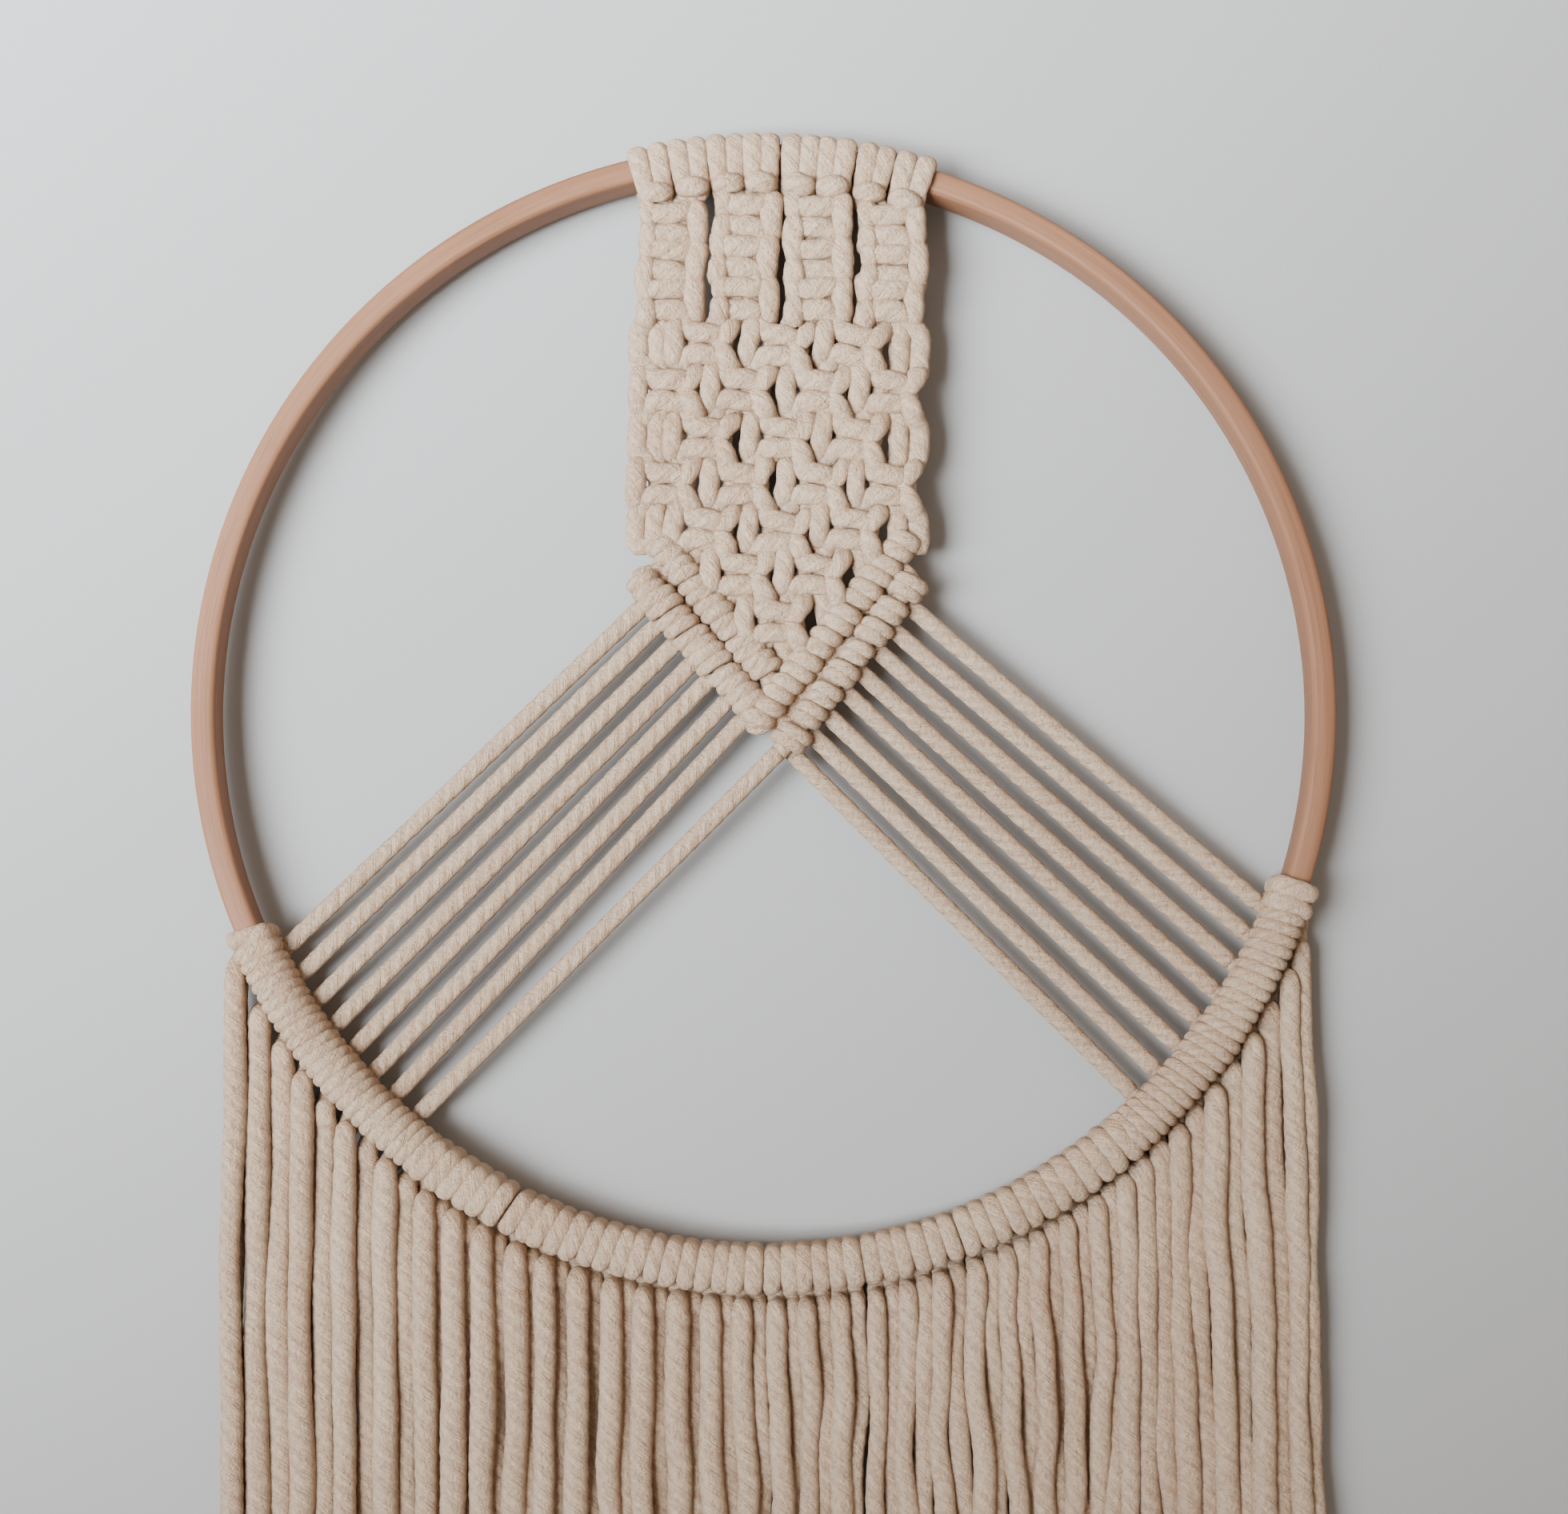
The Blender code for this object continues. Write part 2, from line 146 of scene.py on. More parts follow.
# One square knot, as (across, up, forward, radius) from its middle. The left working cord makes both front
# bars and turns round at the right. The right one comes over the upper bar, dives between the bars, runs
# behind the fillers, stands up as the loop on the left side, runs back behind them and comes out over the
# lower bar.
LEFT_WORKER = (
    (-5.1, 6.0, 0.8, 2.7),
    (-4.9, 4.0, 1.8, 2.7),
    (-2.6, 2.9, 3.2, 2.75),
    (1.2, 2.7, 3.5, 2.75),
    (4.2, 2.4, 2.6, 2.6),
    (5.7, 0.9, 1.0, 2.2),
    (5.7, -0.9, 1.0, 2.2),
    (4.2, -2.4, 2.4, 2.6),
    (1.2, -2.9, 3.4, 2.75),
    (-2.6, -3.0, 3.2, 2.75),
    (-4.9, -4.1, 1.6, 2.7),
    (-5.4, -6.0, 0.6, 2.7),
)
RIGHT_WORKER = (
    (7.4, 6.3, 0.6, 2.6),
    (6.8, 4.7, 2.6, 2.7),
    (6.0, 2.9, 3.6, 2.6),
    (5.0, 0.9, 3.0, 2.2),
    (3.2, 0.5, -0.8, 1.8),
    (-1.5, 1.9, -3.6, 2.0),
    (-5.4, 4.2, -2.6, 2.4),
    (-7.5, 5.1, -0.2, 2.6),
    (-7.9, 3.8, 2.6, 2.75),
    (-7.9, 0.2, 3.5, 2.75),
    (-7.9, -3.3, 2.8, 2.75),
    (-7.6, -4.9, 0.0, 2.6),
    (-5.4, -4.2, -2.6, 2.4),
    (-1.5, -2.0, -3.6, 2.0),
    (2.6, -0.8, -0.8, 1.8),
    (4.4, -1.1, 3.0, 2.2),
    (5.8, -2.9, 4.2, 2.7),
    (6.9, -4.9, 3.6, 2.8),
    (7.8, -6.4, 1.6, 2.75),
)
FILLER_ACROSS = 2.2
FILLER_UP = 4.4
FILLER_FORWARD = 0.2
KNOT_TURN = 5.0
KNOT_TURN_ERROR = 2.5
CORD_RADIUS = 2.65
SIDE_CORD_RADIUS = 1.08 * CORD_RADIUS

# In a sinnet the knot is mirrored, fatter and no taller than its room. Its places to the right of
# RIGHT_SIDE are drawn together to SINNET_RIGHT[0] plus a share of their distance, and the others keep a
# share of theirs.
RIGHT_SIDE = 3.4
SINNET_LEFT = 0.85
SINNET_RIGHT = (5.3, 0.13)
SINNET_GIRTH = 1.05
SINNET_REACH = 5.2
SINNET_TURN = KNOT_TURN / 3

# The V rows: (across, up) of both ends of the leader, half the row's width, how many hitches it carries,
# and how evenly the turns of its hitches are spread. Where that is under 1, a hitch's two turns lie
# together.
Bar = namedtuple("Bar", "start end half_width hitches spread")
INNER_LEFT = Bar((-31.3, 42.3), (-1.5, 7.5), 4.8, 7, 0.94)
INNER_RIGHT = Bar((35.2, 44.8), (-5.8, -6.0), 4.8, 8, 0.9)
OUTER_LEFT = Bar((-36.9, 33.2), (-5.4, -1.0), 5.1, 7, 0.9)
OUTER_RIGHT = Bar((36.4, 33.2), (2.6, -11.6), 4.6, 8, 0.74)

# A hitch's reach to the front and the back of its leader, and its cord's radius as a share of the room that
# one turn has. The leaders lie a little forward of the panel's middle.
HITCH_THROUGH = 3.0
HITCH_FULLNESS = 0.57
BAR_FORWARD = 1.3
LEADER_RADIUS = 2.2

# The knots on the lower arc, in degrees from six o'clock and positive to the right. A head is a lark's head
# and leaves two strands, a hitch ties one stay cord and leaves one. The band that they make reaches out to
# BAND_RADIUS, and the heads' strands leave it at STRANDS_RADIUS.
Run = namedtuple("Run", "knot start end count")
HEADS_LEFT = -37.5
HEADS_RIGHT = 39.5
HEAD_PITCH = (HEADS_RIGHT - HEADS_LEFT) / 23
FRINGES = {
    "fringe_left": (Run("head", -66.8, -63.6, 1), Run("hitch", -63.6, -37.2, 8)),
    "fringe_middle_left": (Run("head", HEADS_LEFT, HEADS_LEFT + 8 * HEAD_PITCH, 8),),
    "fringe_middle": (Run("head", HEADS_LEFT + 8 * HEAD_PITCH, HEADS_RIGHT - 8 * HEAD_PITCH, 7),),
    "fringe_middle_right": (Run("head", HEADS_RIGHT - 8 * HEAD_PITCH, HEADS_RIGHT, 8),),
    "fringe_right": (Run("hitch", 39.2, 67.5, 8), Run("head", 67.5, 70.6, 1)),
}
BAND_RADIUS = HOOP_MIDDLE + 6.0
STRANDS_RADIUS = HOOP_MIDDLE + 6.5

# The two strands of a lark's head. On the left the front one hangs under its head and the back one between
# two heads. Past EVEN_FROM degrees, on an S-curve that is EVEN_WITHIN wide, they come to hang side by side.
# The head's wraps lean on the left, and past UPRIGHT_FROM they stand upright.
ROW_DEPTH = {"front": -2.0, "back": 2.6}
EVEN_FROM = -2.0
EVEN_WITHIN = 3.0
HEAD_LEAN = 0.13
UPRIGHT_FROM = -8.0
UPRIGHT_WITHIN = 6.0

# The strands under the hitches are thicker, and every second one hangs further back.
HITCH_STRAND_DEPTHS = (0.2, 2.6)
HITCH_STRAND_GIRTH = 1.12

# A strand ends at the foot, give or take its error. It sways sideways on sines, and back and forth on the
# sags, a row for each with its reach and the length that it takes for a radian. The longest sway goes by the
# strand's place, so neighbours sway together, and the others are stretched by chance. Some way right of the
# middle the strands sway most.
FRINGE_FOOT = -639.8
FOOT_ERROR = 2.5
SWAYS = ((1.1, 19.0), (0.45, 9.5), (0.3, 4.6))
SHARED_SWAY = 12.0
SAGS = ((1.1, 22.0), (0.7, 9.0))
CALMEST = 0.4
WAVIEST = 0.8
WAVIEST_ACROSS = 45.0
WAVY_WIDTH = 75.0
SWAY_ONSET = 12.0

# A stay ends inside the ring of wraps, behind the hoop's middle. It starts where the panel's cord, after a
# short run along its line, ends.
STAY_DEPTH_AT_HOOP = 2.0
STAY_INSET = 2.6
JOIN = 3.0

# Which knots of the arc tie each side's stays, which cord of the panel each stay is, and how far across the
# strand below its hitch hangs, from left to right. The lark's head at each end has a place for its front
# strand and one for its back strand.
STAY_KNOTS = {"stays_left": "fringe_left", "stays_right": "fringe_right"}
STAY_CORDS = {"fringe_left": (2, 3, 4, 5, 6, 7, 15, 14), "fringe_right": (1, 0, 8, 9, 10, 11, 12, 13)}
STRAND_PLACES = {
    "fringe_left": (-132.4, -126.7, -121.0, -115.4, -109.8, -104.6, -99.3, -94.2),
    "fringe_right": (97.2, 102.0, 106.8, 111.6, 116.4, 121.4, 126.4, 131.6),
}
END_STRAND_PLACES = {"fringe_left": (-138.4, -138.9), "fringe_right": (136.4, 140.0)}

# The stage, in metres and degrees: the room's left, right, near side and top, the window lamp, and a camera
# a little below the hoop's centre. Its focal length is in pixels of a picture of the width given.
ROOM = (-2.5, 2.5, -3.0, 1.8)
FLOOR_HEIGHT = -1.1
BEHIND_WALL = 0.2
SKY_COLOUR = (1.0, 0.80, 0.64)
LAMP_COLOUR = (0.90, 0.955, 1.0)
LAMP_SIZE = 2.0
LAMP_SPREAD = 78.0
LAMP_PLACE = (-1.5, -1.35, 0.3)
LAMP_AIM = (-0.9, 0.0, 1.0)
CAMERA_PLACE = (0.0013, -0.65, -0.2144)
CAMERA_HEADING = -0.33
CAMERA_TILT = 95.0
CAMERA_ROLL = -0.6
SENSOR_WIDTH = 36.0
IMAGE_WIDTH_PIXELS = 1960
FOCAL_LENGTH_PIXELS = 3099


# Places -------------------------------------------------------------


def on_hoop(degrees, out, depth, along=0.0):
    """A place by the hoop, turned from polar to upright axes about the hoop's centre.

    degrees from six o'clock, out from the middle of the wall, depth to the back, and along the ring in mm.
    """
    angle = np.radians(degrees) + np.asarray(along, float) / HOOP_MIDDLE
    radius = HOOP_MIDDLE + np.asarray(out, float)
    height = HOOP_CENTRE_HEIGHT - radius * np.cos(angle)
    return np.stack(np.broadcast_arrays(radius * np.sin(angle), depth, height), axis=-1)


def ring_way(degrees):
    """The direction along the ring at an angle."""
    return math.cos(math.radians(degrees)), 0.0, math.sin(math.radians(degrees))


def on_panel(across, up, forward):
    """A place on the panel, whose axes are turned by its lean and whose top lies further forward."""
    across, up, forward = (np.asarray(value, float) for value in (across, up, forward))
    depth = PANEL_DEPTH_AT_FOOT + up / PANEL_TOP * (PANEL_DEPTH_AT_TOP - PANEL_DEPTH_AT_FOOT)
    x = PANEL_FOOT_ACROSS + PANEL_LEAN * up + across
    z = HOOP_CENTRE_HEIGHT + up - PANEL_LEAN * across
    return np.stack(np.broadcast_arrays(x, depth - forward, z), axis=-1)


def rest_place(cord):
    """How far across the panel a cord hangs where nothing pulls it aside."""
    return (cord - (CORD_COUNT - 1) / 2) * CORD_SPACING


# Cord meshes --------------------------------------------------------


def girth(places, radius, widening=0.0, way=(0.0, 0.0, 0.0), step=TIGHT_STEP):
    """A stretch of a cord's route, a row for each place.

    After the place come the cord's radius, by how much it is wider along a direction, and its mesh's step.
    """
    count = len(places)
    wide = np.multiply.outer(np.broadcast_to(widening, count), way)
    return np.column_stack((places, np.broadcast_to(radius, count), wide, np.full(count, step)))


def joined(*stretches):
    """One route from its stretches, without the places that nearly repeat the one before."""
    route = np.concatenate(stretches)
    gap = np.linalg.norm(np.diff(route[:, :3], axis=0), axis=1)
    return route[np.concatenate(([True], gap > 0.9))]


def smooth_path(route):
    """A centripetal Catmull-Rom spline through a route's places, cut at the steps that its last column gives.

    Each stretch is a cubic Hermite curve whose slopes are the weighted means of the chords on both sides. The
    other columns go straight from one place to the next.
    """
    points = route[:, :3]
    chords = np.diff(points, axis=0)
    spans = np.sqrt(np.linalg.norm(chords, axis=1))[:, None]
    slopes = chords / spans
    tangents = np.concatenate((
        slopes[:1],
        (slopes[:-1] * spans[1:] + slopes[1:] * spans[:-1]) / (spans[:-1] + spans[1:]),
        slopes[-1:],
    ))
    t = np.linspace(0, 1, 16, endpoint=False)[:, None, None]
    curve = (
        (2 * t**3 - 3 * t**2 + 1) * points[:-1]
        + (t**3 - 2 * t**2 + t) * spans * tangents[:-1]
        + (3 * t**2 - 2 * t**3) * points[1:]
        + (t**3 - t**2) * spans * tangents[1:]
    )
    others = (1 - t) * route[:-1, 3:] + t * route[1:, 3:]
    curve = np.concatenate((curve, others), axis=2).transpose(1, 0, 2).reshape(-1, route.shape[1])
    curve = np.concatenate((curve, route[-1:]))
    lengths = np.linalg.norm(np.diff(curve[:, :3], axis=0), axis=1)
    reach = np.concatenate(([0.0], np.cumsum(lengths)))
    stations = np.concatenate(([0.0], np.cumsum(lengths / curve[:-1, -1])))
    even = np.linspace(0, stations[-1], max(2, round(stations[-1])) + 1)
    length = np.interp(even, stations, reach)
    return np.stack([np.interp(length, reach, column) for column in curve[:, :-1].T], axis=1), length


def steady_frames(path):
    """Two directions across a path at every point, which turn round it as little as they can.

    Any perpendicular is taken at each point. The angle by which the next one differs from it, once carried
    along the bend, is summed along the path and turned back.
    """
    forward = np.gradient(path, axis=0)
    forward /= np.linalg.norm(forward, axis=1)[:, None]
    guide = np.eye(3)[np.argmin(np.abs(forward), axis=1)]
    side = guide - forward * np.sum(guide * forward, axis=1)[:, None]
    side /= np.linalg.norm(side, axis=1)[:, None]
    other = np.cross(forward, side)
    lean = np.sum(side[:-1] * forward[1:], axis=1) / (1 + np.sum(forward[:-1] * forward[1:], axis=1))
    carried = side[:-1] - lean[:, None] * (forward[:-1] + forward[1:])
    step = np.arctan2(np.sum(carried * other[1:], axis=1), np.sum(carried * side[1:], axis=1))
    angle = np.concatenate(([0.0], np.cumsum(step)))[:, None]
    return np.cos(angle) * side + np.sin(angle) * other, np.cos(angle) * other - np.sin(angle) * side


def cord_skin(path, length, phase, settings):
    """The rings of points round a path, a row for each station.

    The radius is the path's x (1 + a swell of two slow sines + ply relief x cosine of three times the angle
    plus the twist + lumps of two quick sines, the second with two lumps round the cord). Then each point is
    pushed out along the wide direction, in proportion to how far it already lies that way.
    """
    side, other = steady_frames(path[:, :3])
    angle = TURN * np.arange(CORD_SIDES)[None, :] / CORD_SIDES
    twist = TURN * length[:, None] / (settings.lay / MM)
    plies = np.cos(CORD_PLIES * (angle + twist) + phase[2])
    swell = sum(0.5 * np.sin(length / reach + shift) for reach, shift in zip(SWELL_LENGTHS, phase))[:, None]
    slow, quick = (
        np.sin(TURN * length / reach + shift)[:, None] for reach, shift in zip(LUMP_LENGTHS, phase[::3])
    )
    lumps = slow * np.cos(angle + phase[1]) + quick * np.cos(2 * angle + phase[0])
    radius = path[:, 3:4] * (1 + settings.swell * swell + settings.ply * plies + settings.lumps * lumps)
    ring = radius[..., None] * (
        np.cos(angle)[..., None] * side[:, None, :] + np.sin(angle)[..., None] * other[:, None, :]
    )
    widening = np.linalg.norm(path[:, 4:7], axis=1)[:, None]
    way = path[:, 4:7] / np.maximum(widening, 1e-6)
    along_way = np.sum(ring * way[:, None, :], axis=2) * widening
    return path[:, None, :3] + ring + along_way[..., None] * way[:, None, :]


def cord_mesh(name, ropes, settings, seed):
    """One mesh of many cords, each a tube with a flat cap at both ends.

    Its UV map has the turns round a cord and the lays along it, each from a random start, and its attribute
    gives each cord a tone of its own.
    """
    random = np.random.default_rng(seed)
    around = np.arange(CORD_SIDES) / CORD_SIDES
    lay = settings.lay / MM
    places, corners, starts, cord_uv, tones = [], [], [], [], []
    vertex_count = 0
    corner_count = 0
    for rope in ropes:
        path, length = smooth_path(rope)
        phase = random.uniform(0, TURN, 4)
        stations = len(path)
        places.append(cord_skin(path, length, phase, settings).reshape(-1, 3))
        tones.append(np.full(stations * CORD_SIDES, random.uniform(0, 1)))

        row, column = np.meshgrid(np.arange(stations - 1), np.arange(CORD_SIDES), indexing="ij")
        here, after = row * CORD_SIDES + column, row * CORD_SIDES + (column + 1) % CORD_SIDES
        quads = np.stack((here, after, after + CORD_SIDES, here + CORD_SIDES), axis=-1)
        last_ring = (stations - 1) * CORD_SIDES
        caps = np.stack((np.arange(CORD_SIDES)[::-1], last_ring + np.arange(CORD_SIDES)))
        corners += [vertex_count + quads.ravel(), vertex_count + caps.ravel()]
        starts.append(corner_count + np.arange(0, quads.size, 4))
        starts.append(corner_count + quads.size + CORD_SIDES * np.arange(2))
        vertex_count += stations * CORD_SIDES
        corner_count += quads.size + caps.size

        turn_start = phase[2] / TURN / CORD_PLIES
        u = np.stack((column, column + 1, column + 1, column), axis=-1) / CORD_SIDES
        v = np.stack((length[row], length[row], length[row + 1], length[row + 1]), axis=-1) / lay
        cap_u = np.concatenate((around[::-1], around))
        cap_v = np.repeat((length[0], length[-1]), CORD_SIDES) / lay
        for across, along in ((u, v), (cap_u, cap_v)):
            cord_uv.append(np.stack((across + turn_start, along + phase[3]), axis=-1).reshape(-1, 2))
    mesh = mesh_from(name, np.concatenate(places), np.concatenate(corners), np.concatenate(starts))
    lay_uv(mesh, "Cord", np.concatenate(cord_uv))
    tone = mesh.attributes.new("tone", "FLOAT", "POINT")
    tone.data.foreach_set("value", np.concatenate(tones).astype(np.float32))
    return mesh


def mesh_from(name, places, corners, starts):
    """A smooth mesh from its points' places in mm, its faces' corners, and where each face starts."""
    mesh = bpy.data.meshes.new(name)
    mesh.vertices.add(len(places))
    mesh.vertices.foreach_set("co", (places * MM).astype(np.float32).ravel())
    mesh.loops.add(len(corners))
    mesh.loops.foreach_set("vertex_index", corners.astype(np.int32))
    mesh.polygons.add(len(starts))
    mesh.polygons.foreach_set("loop_start", starts.astype(np.int32))
    mesh.polygons.foreach_set("use_smooth", np.ones(len(starts), bool))
    mesh.update(calc_edges=True)
    if mesh.validate():
        raise RuntimeError(f"The mesh {name} has faulty faces")
    return mesh


def lay_uv(mesh, name, places):
    """A UV map from one place for every corner."""
    layer = mesh.uv_layers.new(name=name)
    layer.data.foreach_set("uv", places.astype(np.float32).ravel())


def put_in_scene(mesh, material, slot, *nodes):
    """Adds the mesh as a piece that rides on the part and stands for its solids."""
    mesh.materials.append(material)
    piece = bpy.data.objects.new(mesh.name, mesh)
    bpy.context.scene.collection.objects.link(piece)
    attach(piece, "root")
    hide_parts(*nodes)


# Routes of the cords ------------------------------------------------


def crown_half(degrees, side, random):
    """Half a lark's head on the top: its front bar's half, up behind the hoop, over it and down the front."""
    across, through, corner = WRAP_ACROSS, WRAP_THROUGH, WRAP_CORNER
    out, depth, along, radius, widening = np.array((
        (-8.3, -8.7, 0.6, 2.75, 0.0),
        (-8.3, -8.5, 1.7, 2.75, 0.0),
        (-8.1, -6.8, 2.4, 2.5, 0.0),
        (-7.2, -3.0, 2.6, 2.1, 0.0),
        (-5.7, 2.2, 2.6, 1.9, 0.1),
        (-corner * across, corner * through, 2.6, 1.9, 0.3),
        (0.0, through, 2.6, 1.9, 0.5),
        (corner * across, corner * through, 2.6, 1.9, 0.5),
        (across, 0.0, 2.55, 1.9, 0.5),
        (corner * across, -corner * through, 2.55, 1.9, 0.5),
        (0.0, -through, 2.5, 2.0, 0.45),
        (-corner * across, -0.95 * through, 2.4, 2.1, 0.3),
        (-8.6, -4.4, 2.3, 2.3, 0.1),
    )).T
    along = along + random.normal(0, WRAP_ERROR)
    out = out + np.where(out < -8, random.normal(0, KNOT_ERROR), 0.0)
    radius = radius * random.normal(1.0, GIRTH_ERROR)
    return girth(on_hoop(degrees, out, depth, side * along), radius, widening, ring_way(degrees))


def square_knot(routes, first, across, up, in_sinnet, random):
    """Leads four neighbouring cords through one square knot, turned a little clockwise.

    The outer two work round the inner two, the fillers. In a sinnet the knot is mirrored, and they change
    roles.
    """
    across = across + random.normal(0, KNOT_ERROR)
    up = up + random.normal(0, KNOT_ERROR)
    turn = math.radians(random.normal(SINNET_TURN if in_sinnet else KNOT_TURN, KNOT_TURN_ERROR))
    workers = (RIGHT_WORKER, LEFT_WORKER) if in_sinnet else (LEFT_WORKER, RIGHT_WORKER)
    for cord, worker in zip((first, first + 3), workers):
        worker = np.array(worker)
        side, height, forward = (worker[:, :3] + random.normal(0, 0.16, (len(worker), 3))).T
        radius = worker[:, 3] * random.normal(1.0, 0.025) * random.normal(1.0, 0.02, len(worker))
        if in_sinnet:
            side = -np.where(side > RIGHT_SIDE, SINNET_RIGHT[0] + SINNET_RIGHT[1] * side, SINNET_LEFT * side)
            height = np.clip(height, -SINNET_REACH, SINNET_REACH)
            radius = radius * SINNET_GIRTH
        places = on_panel(
            across + side * math.cos(turn) + height * math.sin(turn),
            up + height * math.cos(turn) - side * math.sin(turn),
            forward,
        )
        routes[cord].append(girth(places, radius))
    heights = up + np.array((FILLER_UP, 0.0, -FILLER_UP))
    for cord, offset in ((first + 1, -FILLER_ACROSS), (first + 2, FILLER_ACROSS)):
        routes[cord].append(girth(on_panel(across + offset, heights, FILLER_FORWARD), CORD_RADIUS))


def along_bar(bar, share, out, forward):
    """A place by a leader: at a share of its length, out from it on its upper side, and forward."""
    start, end = np.array(bar.start), np.array(bar.end)
    along = (end - start) / np.linalg.norm(end - start)
    upward = np.array((-along[1], along[0]))
    if upward[1] < 0:
        upward = -upward
    share, out = np.asarray(share, float), np.asarray(out, float)
    across, up = (start + np.multiply.outer(share, end - start) + np.multiply.outer(out, upward)).T
    return on_panel(across, up, forward)


def hitch_angles(turns=2):
    """The angles of a hitch round what it's tied to: it passes behind once more than in front."""
    return np.radians(np.arange(60, 360 * turns + 121, 45))


def hitch(bar, number, random):
    """Two turns of a helix round a leader, flattened to an ellipse: behind, under, and up over the front.

    The cord is as thick as the room that the row's length leaves for a turn.
    """
    angle = hitch_angles()
    middle = number + 0.5 + random.normal(0, 0.04)
    spread = bar.spread * random.normal(1, 0.05)
    share = (middle + spread * ((angle - TURN / 4) / (2 * TURN) - 0.5)) / bar.hitches
    room = math.dist(bar.start, bar.end) / bar.hitches / 2
    radius = HITCH_FULLNESS * room * random.normal(1.0, 0.05) * random.normal(1.0, GIRTH_ERROR, len(angle))
    reach = bar.half_width - radius + random.normal(0, KNOT_ERROR) + random.normal(0, CORD_ERROR, len(angle))
    through = HITCH_THROUGH + random.normal(0, 0.3)
    return girth(along_bar(bar, share, reach * np.cos(angle), BAR_FORWARD - through * np.sin(angle)), radius)


def leader(bar):
    """The leader itself, straight along its bar."""
    return girth(along_bar(bar, np.linspace(0.02, 0.98, 8), 0.0, BAR_FORWARD), LEADER_RADIUS)


@functools.cache
def knotted_cords():
    """The routes of the sixteen cords, from the crown to where each leaves the outer V as a stay."""
    random = np.random.default_rng(SEED)
    routes = [[] for _ in range(CORD_COUNT)]
    pitch = (CROWN_END - CROWN_START) / CROWN_HEADS
    for head in range(CROWN_HEADS):
        degrees = 180 - (CROWN_START + (head + 0.5) * pitch) + random.normal(0, 0.12)
        routes[2 * head].append(crown_half(degrees, 1, random))
        routes[2 * head + 1].append(crown_half(degrees, -1, random))
    for place in SINNET_PLACES:
        across = place * KNOT_SPACING
        top = SINNET_TOP - CROWN_BARS_RADIUS + math.sqrt(CROWN_BARS_RADIUS**2 - across**2)
        period = (top - SINNET_FOOT) / SINNET_KNOTS
        for knot in range(SINNET_KNOTS):
            square_knot(routes, 6 + 2 * place, across, top - (knot + 0.5) * period, True, random)
    for up, knots in KNOT_ROWS:
        for place in knots:
            square_knot(routes, 6 + 2 * place, place * KNOT_SPACING, up, False, random)
        if len(knots) == 3:
            for cord, bow in SIDE_BOWS.items():
                across = rest_place(cord) + bow * np.array(SIDE_SHARES)
                places = on_panel(across, up + np.array(SIDE_HEIGHTS), SIDE_FORWARD)
                routes[cord].append(girth(places, SIDE_CORD_RADIUS))
    hitch_the_vs(routes, random)
    return [joined(*route) for route in routes]


def hitch_the_vs(routes, random):
    """Runs the cords over the inner and the outer V.

    The outermost cords lead the inner rows. At the tip the left leader is hitched over the right one, and
    passes on to the outer right row. Their neighbours lead the outer rows and end in the same way.
    """
    left, right = 0, CORD_COUNT - 1
    routes[left].append(leader(INNER_LEFT))
    routes[right].append(leader(INNER_RIGHT))
    for number in range(7):
        routes[1 + number].append(hitch(INNER_LEFT, number, random))
        routes[14 - number].append(hitch(INNER_RIGHT, number, random))
    routes[left].append(hitch(INNER_RIGHT, 7, random))
    routes[1].append(leader(OUTER_LEFT))
    routes[14].append(leader(OUTER_RIGHT))
    for number in range(6):
        routes[2 + number].append(hitch(OUTER_LEFT, number, random))
        routes[13 - number].append(hitch(OUTER_RIGHT, number, random))
    routes[right].append(hitch(OUTER_LEFT, 6, random))
    routes[left].append(hitch(OUTER_RIGHT, 6, random))
    routes[1].append(hitch(OUTER_RIGHT, 7, random))


def arc_knots(run):
    """The middle of each knot of a run, in degrees from six o'clock, and the length of arc that one takes.

    The length is negative for a run that starts at the right, where hitches are tied the other way round.
    """
    pitch = (run.end - run.start) / run.count
    length = math.radians(pitch) * HOOP_MIDDLE
    return run.start + (np.arange(run.count) + 0.5) * pitch, -math.copysign(length, run.start)


def stay_lines(node):
    """Where each stay of a side begins by the V and ends at the hoop, and its way, from left to right."""
    run = next(run for run in FRINGES[node] if run.knot == "hitch")
    degrees, length = arc_knots(run)
    routes = knotted_cords()
    starts = np.array([routes[cord][-1, :3] for cord in STAY_CORDS[node]])
    ends = on_hoop(degrees, -WRAP_ACROSS - STAY_INSET, STAY_DEPTH_AT_HOOP, -0.5 * length)
    way = (ends - starts) / np.linalg.norm(ends - starts, axis=1)[:, None]
    return starts + JOIN * way, ends, way


def s_curve(degrees, middle, width):
    """A share that goes from 0 far to the left of an angle to 1 far to the right of it."""
    return 1 / (1 + math.exp(-(degrees - middle) / width))


